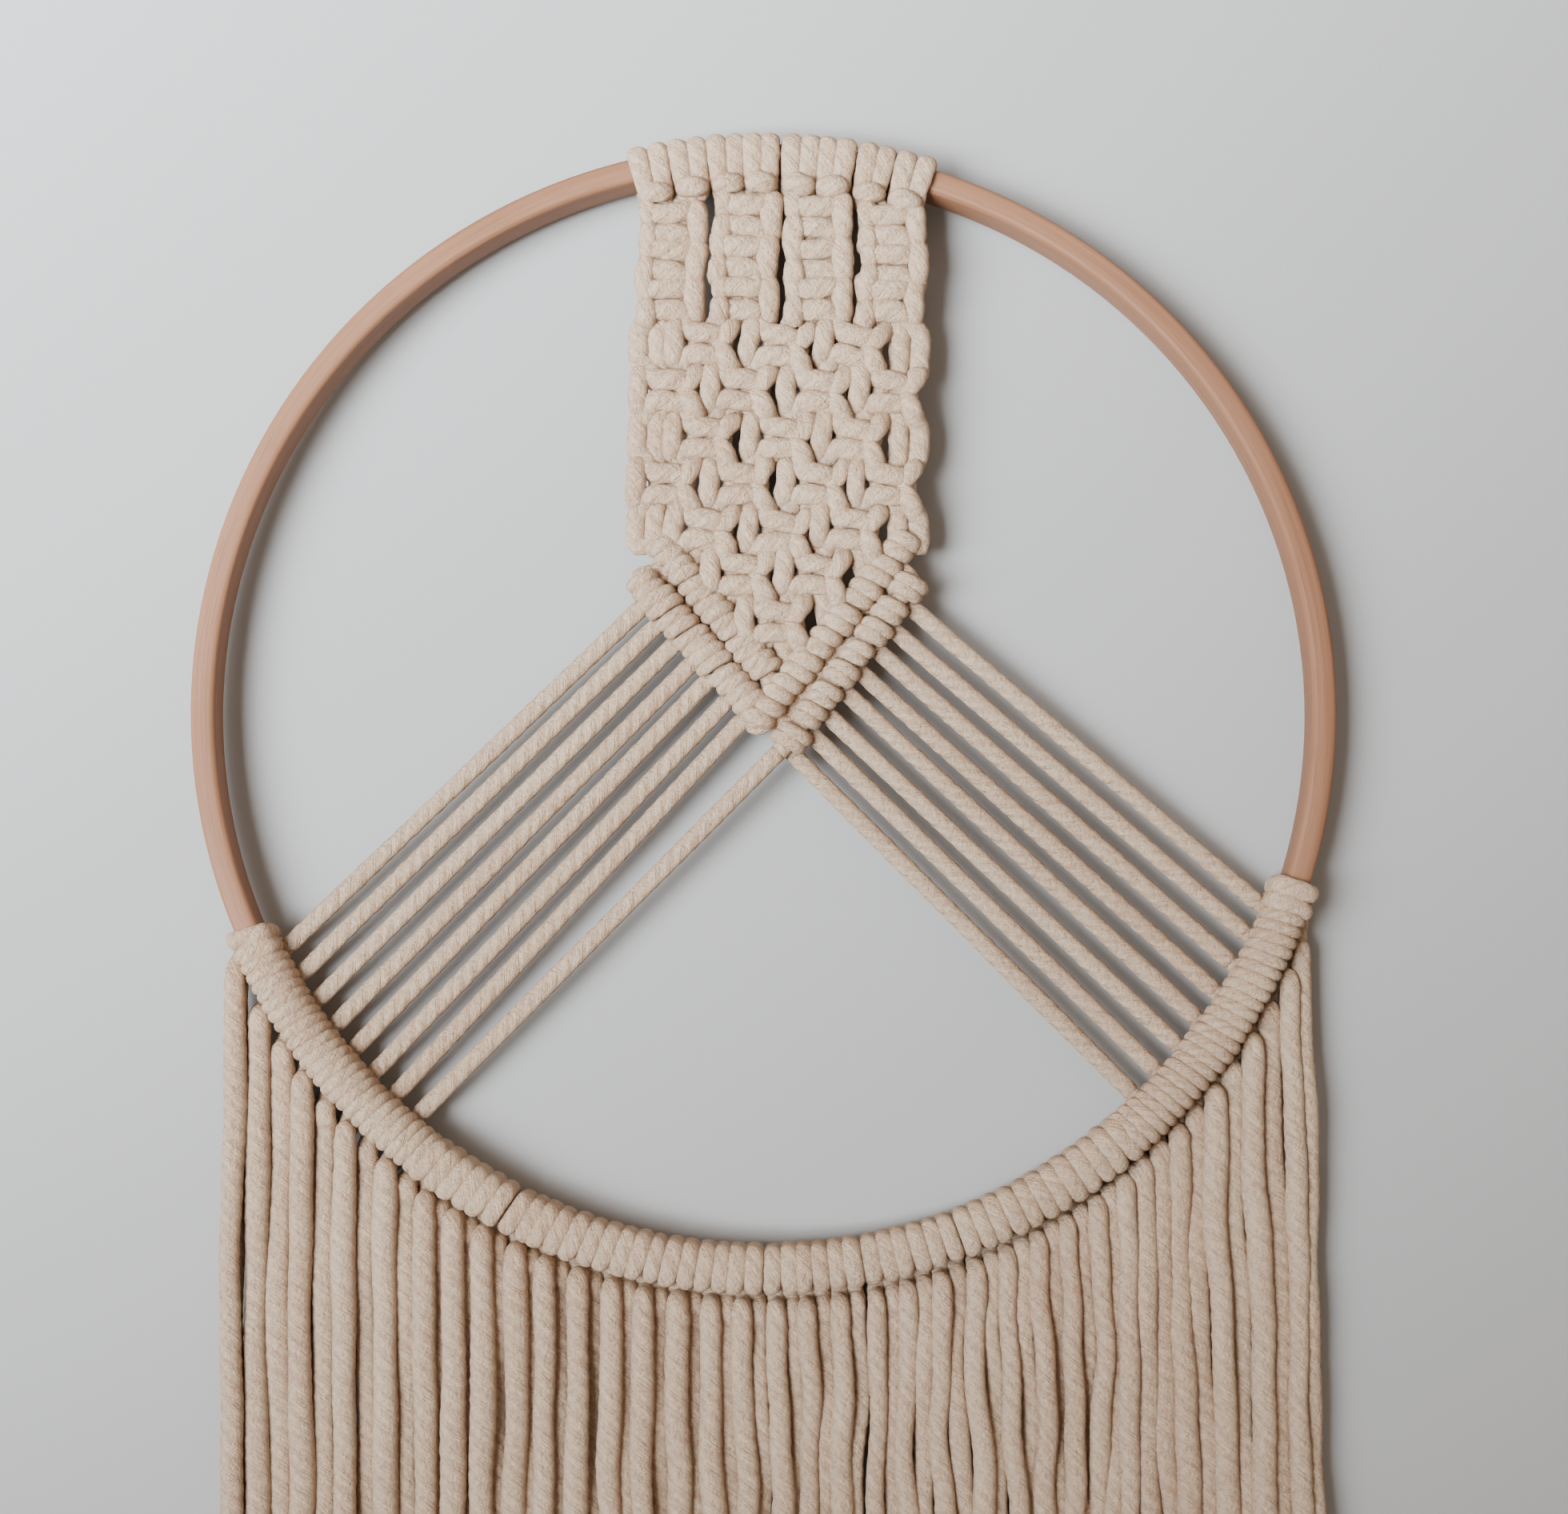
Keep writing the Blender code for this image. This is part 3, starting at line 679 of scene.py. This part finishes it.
def strand(across, depth, radius, random):
    """A fringe strand, from behind the band's lower edge down.

    It sways sideways on the sum of three sines, and back and forth on two, and both grow from nothing at the
    top. At its cut end it opens a little.
    """
    edge = HOOP_CENTRE_HEIGHT - math.sqrt(BAND_RADIUS**2 - across**2)
    tuck = (
        (across, 4.4, edge - 3.2),
        (across, 0.7 * depth - 0.4, edge - 4.9),
        (across, depth, edge - 8.4),
    )
    tuck = girth(np.array(tuck), radius * np.array((0.9, 0.9, 1.0)))
    top = edge - 12.0
    height = np.linspace(top, FRINGE_FOOT + random.uniform(-FOOT_ERROR, FOOT_ERROR), 75)
    fallen = top - height
    phase = random.uniform(0, TURN, 6)
    stretch = random.uniform(0.8, 1.25, 3)
    phase[0] = across / SHARED_SWAY
    stretch[0] = 1.0
    sway = sum(
        reach * np.sin(fallen / (length * longer) + shift)
        for (reach, length), longer, shift in zip(SWAYS, stretch, phase)
    )
    sag = sum(reach * np.sin(fallen / length + shift) for (reach, length), shift in zip(SAGS, phase[3:]))
    waviness = CALMEST + WAVIEST * math.exp(-(((across - WAVIEST_ACROSS) / WAVY_WIDTH) ** 2))
    grown = waviness * (1 - np.exp(-fallen / SWAY_ONSET))
    places = np.column_stack((across + grown * sway, depth + grown * sag, height))
    thickness = radius * (1 + 0.06 * np.sin(fallen / 13 + phase[5]))
    thickness[-2:] *= (1.04, 1.12)
    return np.concatenate((tuck, girth(places, thickness, step=LOOSE_STEP)))


def head_on_arc(degrees, side, across, depth, radius, random):
    """Half a lark's head on the lower arc: from its bar at the back under the hoop, up the front and over.

    Its strand follows.
    """
    reach, through, corner = WRAP_ACROSS, WRAP_THROUGH, WRAP_CORNER
    out, back, along, widening = np.array((
        (6.0, 8.0, 0.6, 0.0),
        (6.1, 7.2, 2.2, 0.0),
        (5.9, 4.4, 2.7, 0.0),
        (reach, 0.0, 2.6, 0.1),
        (corner * reach, -corner * through, 2.35, 0.25),
        (0.0, -through, 2.1, WRAP_WIDENING),
        (-corner * reach, -corner * through, 2.1, WRAP_WIDENING),
        (-reach, 0.0, 2.1, WRAP_WIDENING),
        (-corner * reach, corner * through, 2.0, WRAP_WIDENING),
        (0.0, through, 1.9, WRAP_WIDENING),
        (4.0, 6.0, 1.5, 0.1),
    )).T
    lean = HEAD_LEAN * (1 - s_curve(degrees, UPRIGHT_FROM, UPRIGHT_WITHIN))
    along = side * (along + random.normal(0, WRAP_ERROR)) - lean * out
    wrap_radius = WRAP_RADIUS * random.normal(1.0, 0.04)
    wrap = girth(on_hoop(degrees, out, back, along), wrap_radius, widening, ring_way(degrees))
    return np.concatenate((wrap, strand(across, depth, radius, random)))


def hitch_on_arc(degrees, length, entry, way, across, depth, radius, random):
    """A stay cord's hitch on the lower arc: three turns of a squared helix, and its strand below.

    The helix reaches in by the cosine of its angle and back by its sine, both more near the hoop's corners.
    """
    turned = hitch_angles(3)
    along = length * ((turned - TURN / 4) / (3 * TURN) - 0.5) + random.normal(0, 0.1)
    corner = 1 + (math.sqrt(2) * WRAP_CORNER - 1) * np.sin(2 * turned) ** 2
    out = -(WRAP_ACROSS + random.normal(0, CORD_ERROR)) * corner * np.cos(turned)
    back = (WRAP_THROUGH + random.normal(0, CORD_ERROR)) * corner * np.sin(turned)
    wrap_radius = HITCH_WRAP_RADIUS * random.normal(1.0, 0.04) * random.normal(1.0, GIRTH_ERROR, len(turned))
    wrap = girth(on_hoop(degrees, out, back, along), wrap_radius, HITCH_WRAP_WIDENING, ring_way(degrees))
    start = girth(np.array((entry - 1.5 * way, entry + 1.5 * way)), (2.2, 2.0))
    return np.concatenate((start, wrap, strand(across, depth, radius, random)))


# Finishes -----------------------------------------------------------


class Value:
    """An output of a node in an expression. Each operator on it adds the Math node that works it out."""

    def __init__(self, finish, socket):
        self.finish = finish
        self.socket = socket

    def __add__(self, other):
        return self.finish.math("ADD", self, other)

    def __radd__(self, other):
        return self.finish.math("ADD", other, self)

    def __sub__(self, other):
        return self.finish.math("SUBTRACT", self, other)

    def __rsub__(self, other):
        return self.finish.math("SUBTRACT", other, self)

    def __mul__(self, other):
        return self.finish.math("MULTIPLY", self, other)

    def __rmul__(self, other):
        return self.finish.math("MULTIPLY", other, self)


class Finish:
    """A material made of nodes, around one Principled shader."""

    def __init__(self, name):
        self.material = bpy.data.materials.new(name)
        self.material.use_nodes = True
        self.tree = self.material.node_tree
        self.shader = self.tree.nodes["Principled BSDF"]

    def node(self, kind, settings, inputs, output=0):
        """Adds a node: its settings first, and then the values or links of its inputs."""
        node = self.tree.nodes.new("ShaderNode" + kind)
        for key, value in settings.items():
            setattr(node, key, value)
        for key, value in inputs.items():
            if isinstance(value, Value):
                self.tree.links.new(value.socket, node.inputs[key])
            else:
                node.inputs[key].default_value = value
        return Value(self, node.outputs[output])

    def math(self, operation, *values):
        return self.node("Math", {"operation": operation}, dict(enumerate(values)))

    def noise(self, place, scale, detail, roughness=0.5):
        inputs = {"Vector": place, "Scale": scale, "Detail": detail, "Roughness": roughness}
        return self.node("TexNoise", {}, inputs)

    def blend(self, factor, first, second):
        """A colour between two others."""
        settings = {"data_type": "RGBA", "clamp_factor": True}
        return self.node("Mix", settings, {0: factor, 6: first, 7: second}, output=2)

    def spread(self, value, low, high, to_low, to_high):
        """A value moved smoothly from one range to another."""
        settings = {"interpolation_type": "SMOOTHSTEP"}
        inputs = {"Value": value, "From Min": low, "From Max": high, "To Min": to_low, "To Max": to_high}
        return self.node("MapRange", settings, inputs)

    def vector(self, x, y, z):
        return self.node("CombineXYZ", {}, {0: x, 1: y, 2: z})

    def bump(self, height, distance, strength):
        return self.node("Bump", {}, {"Height": height, "Distance": distance, "Strength": strength})

    def wear(self, **inputs):
        """Sets or links the shader's own sockets."""
        for key, value in inputs.items():
            socket = self.shader.inputs[key.replace("_", " ")]
            if isinstance(value, Value):
                self.tree.links.new(value.socket, socket)
            else:
                socket.default_value = value


def cotton_finish(settings):
    """Soft twisted cotton: fibres along the twist, fluff, shallow grooves with painted shade in them, and a
    tone for each cord.

    The fibres are noise on a cylinder that turns with the twist, so no seam shows.
    """
    finish = Finish(COTTON)
    uv = finish.node("UVMap", {"uv_map": "Cord"}, {})
    around = finish.node("SeparateXYZ", {}, {0: uv})
    along = finish.node("SeparateXYZ", {}, {0: uv}, output=1)
    turn = (around + along) * TURN
    x = finish.math("COSINE", turn)
    y = finish.math("SINE", turn)
    fibres = finish.noise(finish.vector(x * 3.0, y * 3.0, along * 3.2), 1.0, 6.0, roughness=0.72)
    place = finish.node("TexCoord", {}, {}, output=3)
    fluff = finish.noise(place, 900.0, 4.0, roughness=0.7)
    patches = finish.noise(place, 45.0, 3.0, roughness=0.6)
    tone = finish.node("Attribute", {"attribute_name": "tone"}, {}, output=2)
    plies = finish.math("COSINE", turn * CORD_PLIES)
    # Painted shade: the ply term makes the grooves between the plies a little darker and their ridges a
    # little lighter.
    shade = fibres + fluff * 0.9 + tone * 0.12 + patches * 0.25 - plies * 0.05
    colour = finish.blend(
        finish.spread(shade, 0.8, 1.55, 0.0, 1.0), (*settings.cotton_light, 1.0), (*settings.cotton_dark, 1.0)
    )
    height = fibres * 0.6 + fluff * 0.8 + plies * 0.1
    finish.wear(
        Base_Color=colour,
        Roughness=0.95,
        Normal=finish.bump(height, 0.0032, 1.0),
        Sheen_Weight=0.2,
        Sheen_Roughness=0.6,
        Specular_IOR_Level=0.15,
    )
    return finish.material


def cotton(settings):
    """The cotton's material, made when it's first asked for."""
    return bpy.data.materials.get(COTTON) or cotton_finish(settings)


def wood_finish(settings):
    """Matt light wood: long grain along the ring, darker lines in it, and a faint broad mottle."""
    finish = Finish("bent_beech")
    uv = finish.node("UVMap", {"uv_map": "Ring"}, {})
    along = finish.node("SeparateXYZ", {}, {0: uv})
    across = finish.node("SeparateXYZ", {}, {0: uv}, output=1)
    grain = finish.noise(finish.vector(along * 14.0, across * 900.0, 0.0), 1.0, 4.0, roughness=0.6)
    pores = finish.noise(finish.vector(along * 60.0, across * 2600.0, 4.0), 1.0, 2.0, roughness=0.6)
    mottle = finish.noise(finish.vector(along * 9.0, across * 70.0, 9.0), 1.0, 2.0)
    shade = grain * 0.6 + mottle * 0.5 - 0.05
    colour = finish.blend(
        finish.spread(shade, 0.3, 0.75, 0.0, 1.0), (*settings.wood_light, 1.0), (*settings.wood_dark, 1.0)
    )
    lines = finish.spread(pores, 0.58, 0.72, 0.0, 0.35)
    colour = finish.blend(lines, colour, (*(0.6 * np.array(settings.wood_dark)), 1.0))
    finish.wear(
        Base_Color=colour,
        Roughness=finish.spread(mottle, 0.3, 0.7, 0.5, 0.62),
        Normal=finish.bump(grain * 0.6 - lines, 0.0003, 0.35),
        Specular_IOR_Level=0.25,
    )
    return finish.material


def wall_finish(colour):
    """Matt wall paint with a faint roller texture."""
    finish = Finish("wall_paint")
    place = finish.node("TexCoord", {}, {}, output=3)
    texture = finish.noise(place, 700.0, 3.0)
    finish.wear(
        Base_Color=(*colour, 1.0),
        Roughness=0.9,
        Specular_IOR_Level=0.15,
        Normal=finish.bump(texture, 0.0002, 0.2),
    )
    return finish.material


# Settings -----------------------------------------------------------


def length_setting(name, description, millimetres):
    """A setting that is a length."""
    return FloatProperty(name=name, description=description, default=millimetres * MM, unit="LENGTH")


def share_setting(name, description, default):
    """A setting that is a share or a strength."""
    return FloatProperty(name=name, description=description, default=default, min=0)


def colour_setting(name, description, *default):
    """A setting that is a colour."""
    limits = {"min": 0, "max": 1}
    return FloatVectorProperty(name=name, description=description, subtype="COLOR", default=default, **limits)


class MacrameCords(bpy.types.PropertyGroup):
    """Sizes and colours of the cotton."""

    stay_radius: length_setting("Stay radius", "Half a stay's thickness", 2.35)
    strand_radius: length_setting("Strand radius", "Half a strand's thickness", 2.85)
    lay: length_setting("Lay", "Length of one full twist", 14.0)
    ply: share_setting("Ply relief", "Depth of the plies as a share of the radius", 0.035)
    lumps: share_setting("Lumps", "Height of small lumps as a share of the radius", 0.022)
    swell: share_setting("Swell", "Slow unevenness as a share of the radius", 0.045)
    cotton_light: colour_setting("Cotton, light", "Lighter fibres", 0.99, 0.745, 0.51)
    cotton_dark: colour_setting("Cotton, dark", "Darker fibres", 0.62, 0.35, 0.20)


class MacrameHoop(bpy.types.PropertyGroup):
    """Colours of the wood."""

    wood_light: colour_setting("Wood, light", "Early wood", 0.275, 0.135, 0.075)
    wood_dark: colour_setting("Wood, dark", "Late wood", 0.20, 0.09, 0.046)


class MacrameStage(bpy.types.PropertyGroup):
    """The wall, the floor and the light."""

    wall_colour: colour_setting("Wall", "Colour of the wall and floor", 0.37, 0.37, 0.37)
    wall_gap: length_setting("Wall gap", "How far the wall is behind the hoop's middle", 10.6)
    key_power: FloatProperty(
        name="Key light", description="Power of the large soft light", default=162.0, unit="POWER"
    )
    sky: share_setting("Sky", "Strength of the light from all round", 0.62)


# Operators ----------------------------------------------------------


class MACRAME_OT_bend_hoop(bpy.types.Operator):
    """Bend the wooden hoop"""

    bl_idname = "macrame.bend_hoop"
    bl_label = "Bend hoop"

    def execute(self, context):
        mesh = hoop_mesh()
        put_in_scene(mesh, wood_finish(context.scene.macrame_hoop), "bent_beech", "hoop")
        return {"FINISHED"}


def hoop_mesh():
    """A rounded rectangle carried round a circle: a quarter circle at each corner, joined by flats."""
    steps, corner_steps = 180, 5
    quarter = np.linspace(0, TURN / 4, corner_steps)
    flat_out, flat_depth = HOOP_WALL / 2 - HOOP_ROUNDING, HOOP_DEPTH / 2 - HOOP_ROUNDING
    angle = np.concatenate([quarter + turn * TURN / 4 for turn in range(4)])
    corner_out = np.repeat((flat_out, -flat_out, -flat_out, flat_out), corner_steps)
    corner_depth = np.repeat((flat_depth, flat_depth, -flat_depth, -flat_depth), corner_steps)
    out = corner_out + HOOP_ROUNDING * np.cos(angle)
    depth = corner_depth + HOOP_ROUNDING * np.sin(angle)
    sides = len(out)
    degrees = 180 + np.arange(steps) * 360 / steps
    places = on_hoop(degrees[:, None], out, depth).reshape(-1, 3)
    row, column = np.meshgrid(np.arange(steps), np.arange(sides), indexing="ij")
    next_row, next_column = (row + 1) % steps, (column + 1) % sides
    quads = np.stack((
        row * sides + column,
        next_row * sides + column,
        next_row * sides + next_column,
        row * sides + next_column,
    ), axis=-1)
    mesh = mesh_from("hoop_of_wood", places, quads.ravel(), 4 * np.arange(steps * sides))
    rim = np.stack((out, depth), axis=1)
    edge = np.linalg.norm(rim - np.roll(rim, -1, axis=0), axis=1)
    reach = np.concatenate(([0.0], np.cumsum(edge)))
    step = TURN * HOOP_MIDDLE / steps
    u = np.stack((row, row + 1, row + 1, row), axis=-1) * step * MM
    v = np.stack((reach[column], reach[column], reach[column + 1], reach[column + 1]), axis=-1) * MM
    lay_uv(mesh, "Ring", np.stack((u, v), axis=-1).reshape(-1, 2))
    return mesh


class MACRAME_OT_knot_panel(bpy.types.Operator):
    """Knot the panel, from the lark's heads on the hoop's top to the tip of the V"""

    bl_idname = "macrame.knot_panel"
    bl_label = "Knot panel"

    def execute(self, context):
        cords = context.scene.macrame_cords
        routes = list(knotted_cords())
        for node, numbers in STAY_CORDS.items():
            for cord, start in zip(numbers, stay_lines(node)[0]):
                routes[cord] = joined(routes[cord], girth(start[None, :], cords.stay_radius / MM))
        heads = [joined(left[::-1], right) for left, right in zip(routes[::2], routes[1::2])]
        mesh = cord_mesh("panel_of_knots", heads, cords, SEED + 1)
        put_in_scene(mesh, cotton(cords), "cotton_cord", "knotted_panel")
        return {"FINISHED"}


class MACRAME_OT_run_stays(bpy.types.Operator):
    """Run the sixteen stay cords from the V to the hoop's lower arc"""

    bl_idname = "macrame.run_stays"
    bl_label = "Run stays"

    def execute(self, context):
        cords = context.scene.macrame_cords
        share = np.linspace(0, 1, 9)[:, None]
        for seed, (node, fringe) in enumerate(STAY_KNOTS.items()):
            starts, ends, _ = stay_lines(fringe)
            ropes = [
                girth(start + share * (end - start), cords.stay_radius / MM, step=LOOSE_STEP)
                for start, end in zip(starts, ends)
            ]
            mesh = cord_mesh(node + "_cords", ropes, cords, SEED + 2 + seed)
            put_in_scene(mesh, cotton(cords), "cotton_cord", node)
        return {"FINISHED"}


class MACRAME_OT_hang_fringe(bpy.types.Operator):
    """Tie the knots on the hoop's lower arc and hang the fringe"""

    bl_idname = "macrame.hang_fringe"
    bl_label = "Hang fringe"

    def execute(self, context):
        cords = context.scene.macrame_cords
        random = np.random.default_rng(SEED + 5)
        for seed, (node, runs) in enumerate(FRINGES.items()):
            ropes = []
            for run in runs:
                tie = tied_heads if run.knot == "head" else tied_hitches
                ropes += tie(node, run, cords.strand_radius / MM, random)
            mesh = cord_mesh(node + "_strands", ropes, cords, SEED + 10 + seed)
            put_in_scene(mesh, cotton(cords), "cotton_cord", node)
        return {"FINISHED"}


def tied_heads(node, run, radius, random):
    """The cords of a run of lark's heads. From left to right, their two strands come to lie more evenly."""
    ropes = []
    pitch = (run.end - run.start) / run.count
    for middle in arc_knots(run)[0] + random.normal(0, 0.1, run.count):
        evenness = s_curve(middle, EVEN_FROM, EVEN_WITHIN)
        halves = []
        for side, row, offset, girth_share in (
            (-1, "front", 0.06 - 0.3 * evenness, 1.03 - 0.08 * evenness),
            (1, "back", 0.52 - 0.26 * evenness, 1.0 - 0.05 * evenness),
        ):
            across = STRANDS_RADIUS * math.sin(math.radians(middle + offset * pitch))
            if run.count == 1:
                across = END_STRAND_PLACES[node][side > 0]
            depth = ROW_DEPTH[row] * (1 - 0.45 * evenness) + random.normal(0, 0.4)
            thickness = radius * girth_share * random.normal(1, 0.05)
            halves.append(head_on_arc(middle, side, across, depth, thickness, random))
        ropes.append(joined(halves[0][::-1], halves[1]))
    return ropes


def tied_hitches(node, run, radius, random):
    """The cords of a run of hitches, from the ends of its stays to the foot of the fringe."""
    ropes = []
    degrees, length = arc_knots(run)
    _, entries, ways = stay_lines(node)
    for knot, (middle, entry, way, across) in enumerate(zip(degrees, entries, ways, STRAND_PLACES[node])):
        depth = HITCH_STRAND_DEPTHS[knot % 2] + random.normal(0, 0.4)
        thickness = radius * random.normal(HITCH_STRAND_GIRTH, GIRTH_ERROR)
        ropes.append(joined(hitch_on_arc(middle, length, entry, way, across, depth, thickness, random)))
    return ropes


class MACRAME_OT_set_stage(bpy.types.Operator):
    """Put up the wall, the floor, the light and the camera"""

    bl_idname = "macrame.set_stage"
    bl_label = "Set stage"

    def execute(self, context):
        stage = context.scene.macrame_stage
        paint = wall_finish(stage.wall_colour)
        left, right, near, top = ROOM
        wall_corners = [(x, stage.wall_gap, z) for x, z in corners_of(left, right, FLOOR_HEIGHT, top)]
        floor_corners = [(x, y, FLOOR_HEIGHT) for x, y in corners_of(left, right, near, BEHIND_WALL)]
        stage_plane("wall", wall_corners, paint)
        stage_plane("floor", floor_corners, paint)
        light_studio(context.scene, stage)
        set_camera(context.scene)
        return {"FINISHED"}


def corners_of(left, right, low, high):
    """The corners of a rectangle, in order round it."""
    return (left, low), (right, low), (right, high), (left, high)


def stage_plane(name, corners, material):
    """A flat rectangle."""
    mesh = bpy.data.meshes.new(name)
    mesh.from_pydata(corners, [], [(0, 1, 2, 3)])
    mesh.materials.append(material)
    plane = bpy.data.objects.new(name, mesh)
    bpy.context.scene.collection.objects.link(plane)
    return plane


def light_studio(scene, stage):
    """Weak warm light from all round, and a large cool lamp on the left, as from a window."""
    world = bpy.data.worlds.new("studio")
    world.use_nodes = True
    background = world.node_tree.nodes["Background"]
    background.inputs["Color"].default_value = (*SKY_COLOUR, 1.0)
    background.inputs["Strength"].default_value = stage.sky
    scene.world = world

    light = bpy.data.lights.new("window", "AREA")
    light.shape = "SQUARE"
    light.size = LAMP_SIZE
    light.spread = math.radians(LAMP_SPREAD)
    light.energy = stage.key_power
    light.color = LAMP_COLOUR
    lamp = bpy.data.objects.new("window", light)
    turn = (Vector(LAMP_AIM) - Vector(LAMP_PLACE)).to_track_quat("-Z", "Y")
    lamp.matrix_world = Matrix.Translation(LAMP_PLACE) @ turn.to_matrix().to_4x4()
    scene.collection.objects.link(lamp)


def set_camera(scene):
    """A camera low in front of the hoop, tilted up at it."""
    lens = bpy.data.cameras.new("camera")
    lens.sensor_width = SENSOR_WIDTH
    lens.lens = SENSOR_WIDTH * FOCAL_LENGTH_PIXELS / IMAGE_WIDTH_PIXELS
    camera = bpy.data.objects.new("camera", lens)
    heading, tilt, roll = (math.radians(angle) for angle in (CAMERA_HEADING, CAMERA_TILT, CAMERA_ROLL))
    turn = Matrix.Rotation(heading, 4, "Z") @ Matrix.Rotation(tilt, 4, "X") @ Matrix.Rotation(roll, 4, "Z")
    camera.matrix_world = Matrix.Translation(CAMERA_PLACE) @ turn
    scene.collection.objects.link(camera)
    scene.camera = camera


class MACRAME_PT_panel(bpy.types.Panel):
    """Lists the sizes and colours and the steps"""

    bl_idname = "MACRAME_PT_panel"
    bl_label = "Macrame wall hanging"
    bl_space_type = "VIEW_3D"
    bl_region_type = "UI"
    bl_category = "Macrame"

    def draw(self, context):
        scene = context.scene
        for group in (scene.macrame_cords, scene.macrame_hoop, scene.macrame_stage):
            for key in group.__annotations__:
                self.layout.prop(group, key)
        for operator in STEPS:
            self.layout.operator(operator.bl_idname)


STEPS = (
    MACRAME_OT_bend_hoop,
    MACRAME_OT_knot_panel,
    MACRAME_OT_run_stays,
    MACRAME_OT_hang_fringe,
    MACRAME_OT_set_stage,
)
CLASSES = (MacrameCords, MacrameHoop, MacrameStage, *STEPS, MACRAME_PT_panel)


def register():
    for cls in CLASSES:
        bpy.utils.register_class(cls)
    bpy.types.Scene.macrame_cords = PointerProperty(type=MacrameCords)
    bpy.types.Scene.macrame_hoop = PointerProperty(type=MacrameHoop)
    bpy.types.Scene.macrame_stage = PointerProperty(type=MacrameStage)


def unregister():
    del bpy.types.Scene.macrame_stage
    del bpy.types.Scene.macrame_hoop
    del bpy.types.Scene.macrame_cords
    for cls in reversed(CLASSES):
        bpy.utils.unregister_class(cls)


def main():
    register()
    bpy.ops.macrame.bend_hoop()
    bpy.ops.macrame.knot_panel()
    bpy.ops.macrame.run_stays()
    bpy.ops.macrame.hang_fringe()
    bpy.ops.macrame.set_stage()


if __name__ == "__main__":
    main()
